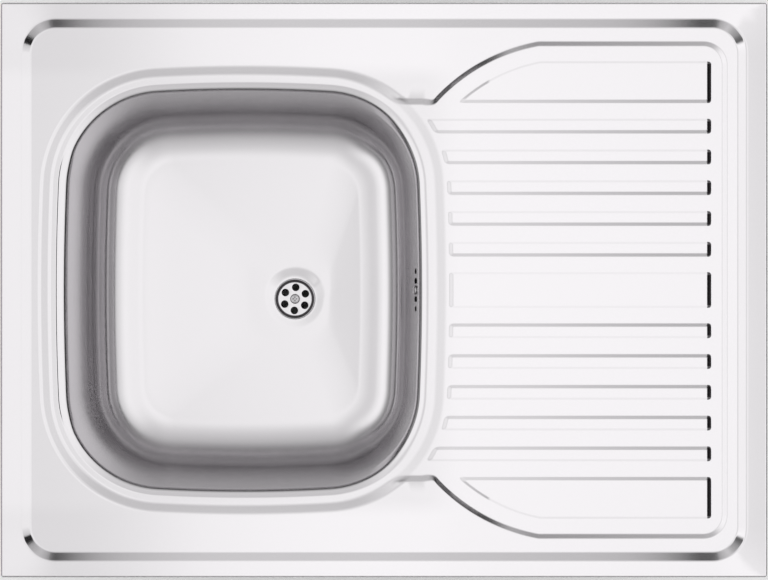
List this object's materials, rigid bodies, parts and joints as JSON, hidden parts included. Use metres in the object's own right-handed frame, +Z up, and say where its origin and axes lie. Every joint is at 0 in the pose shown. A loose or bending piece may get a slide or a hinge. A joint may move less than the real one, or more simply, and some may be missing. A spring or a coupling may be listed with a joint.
{
  "type": "kitchen sink with drainboard",
  "caption": "Lay-on pressed stainless-steel kitchen sink with one deep bowl, a ribbed drainboard, strainer waste, overflow and sliding fixing brackets.",
  "frame": {"origin": "middle of the plane that the sink rests on, the underside of its folded-in return flange", "axes": "+X towards the drainboard, along the 800 mm length; -Y towards the user; +Z up"},
  "size_m": [0.8, 0.6, 0.232],
  "materials": {
    "satin_steel": "satin pressed stainless steel",
    "bright_steel": "brighter stainless steel",
    "screw_steel": "plain stainless steel",
    "black_rubber": "matt black rubber",
    "black_plastic": "black moulded plastic",
    "hose_plastic": "off-white corrugated plastic",
    "dark_plastic": "dark grey moulded plastic",
    "washer_plastic": "natural plastic",
    "brass": "turned brass",
    "pad_rubber": "bitumen-like sound-deadening sheet",
    "zinc_steel": "zinc-plated pressed steel",
    "yellow_zinc": "yellow zinc-plated steel"
  },
  "bodies": {
    "sink": {"sink_pressing": "satin_steel", "strainer_plate": "bright_steel", "strainer_gasket": "black_rubber", "strainer_screw": "screw_steel", "waste_gasket": "black_rubber", "waste_body": "black_plastic", "waste_insert_nut": "brass", "overflow_gasket": "black_rubber", "overflow_head": "black_plastic", "overflow_insert_nut": "brass", "overflow_screw": "screw_steel", "overflow_hose": "hose_plastic", "overflow_hose_nut": "dark_plastic", "overflow_cone_washer": "washer_plastic", "waste_hose_nut": "dark_plastic", "waste_cone_washer": "washer_plastic", "bowl_sound_pad": "pad_rubber"},
    "bracket_1": {"fixing_bracket_1": "zinc_steel", "bracket_screw_1": "yellow_zinc"},
    "bracket_2": {"fixing_bracket_2": "zinc_steel", "bracket_screw_2": "yellow_zinc"},
    "bracket_3": {"fixing_bracket_3": "zinc_steel", "bracket_screw_3": "yellow_zinc"},
    "bracket_4": {"fixing_bracket_4": "zinc_steel", "bracket_screw_4": "yellow_zinc"}
  },
  "joints": [
    {"name": "bracket_1_slide", "type": "slide", "parent": "sink", "child": "bracket_1", "axis": [0, 1, 0], "range_m": [-0.06, 0.06]},
    {"name": "bracket_2_slide", "type": "slide", "parent": "sink", "child": "bracket_2", "axis": [0, 1, 0], "range_m": [-0.06, 0.06]},
    {"name": "bracket_3_slide", "type": "slide", "parent": "sink", "child": "bracket_3", "axis": [0, 1, 0], "range_m": [-0.06, 0.06]},
    {"name": "bracket_4_slide", "type": "slide", "parent": "sink", "child": "bracket_4", "axis": [0, 1, 0], "range_m": [-0.06, 0.06]}
  ]
}
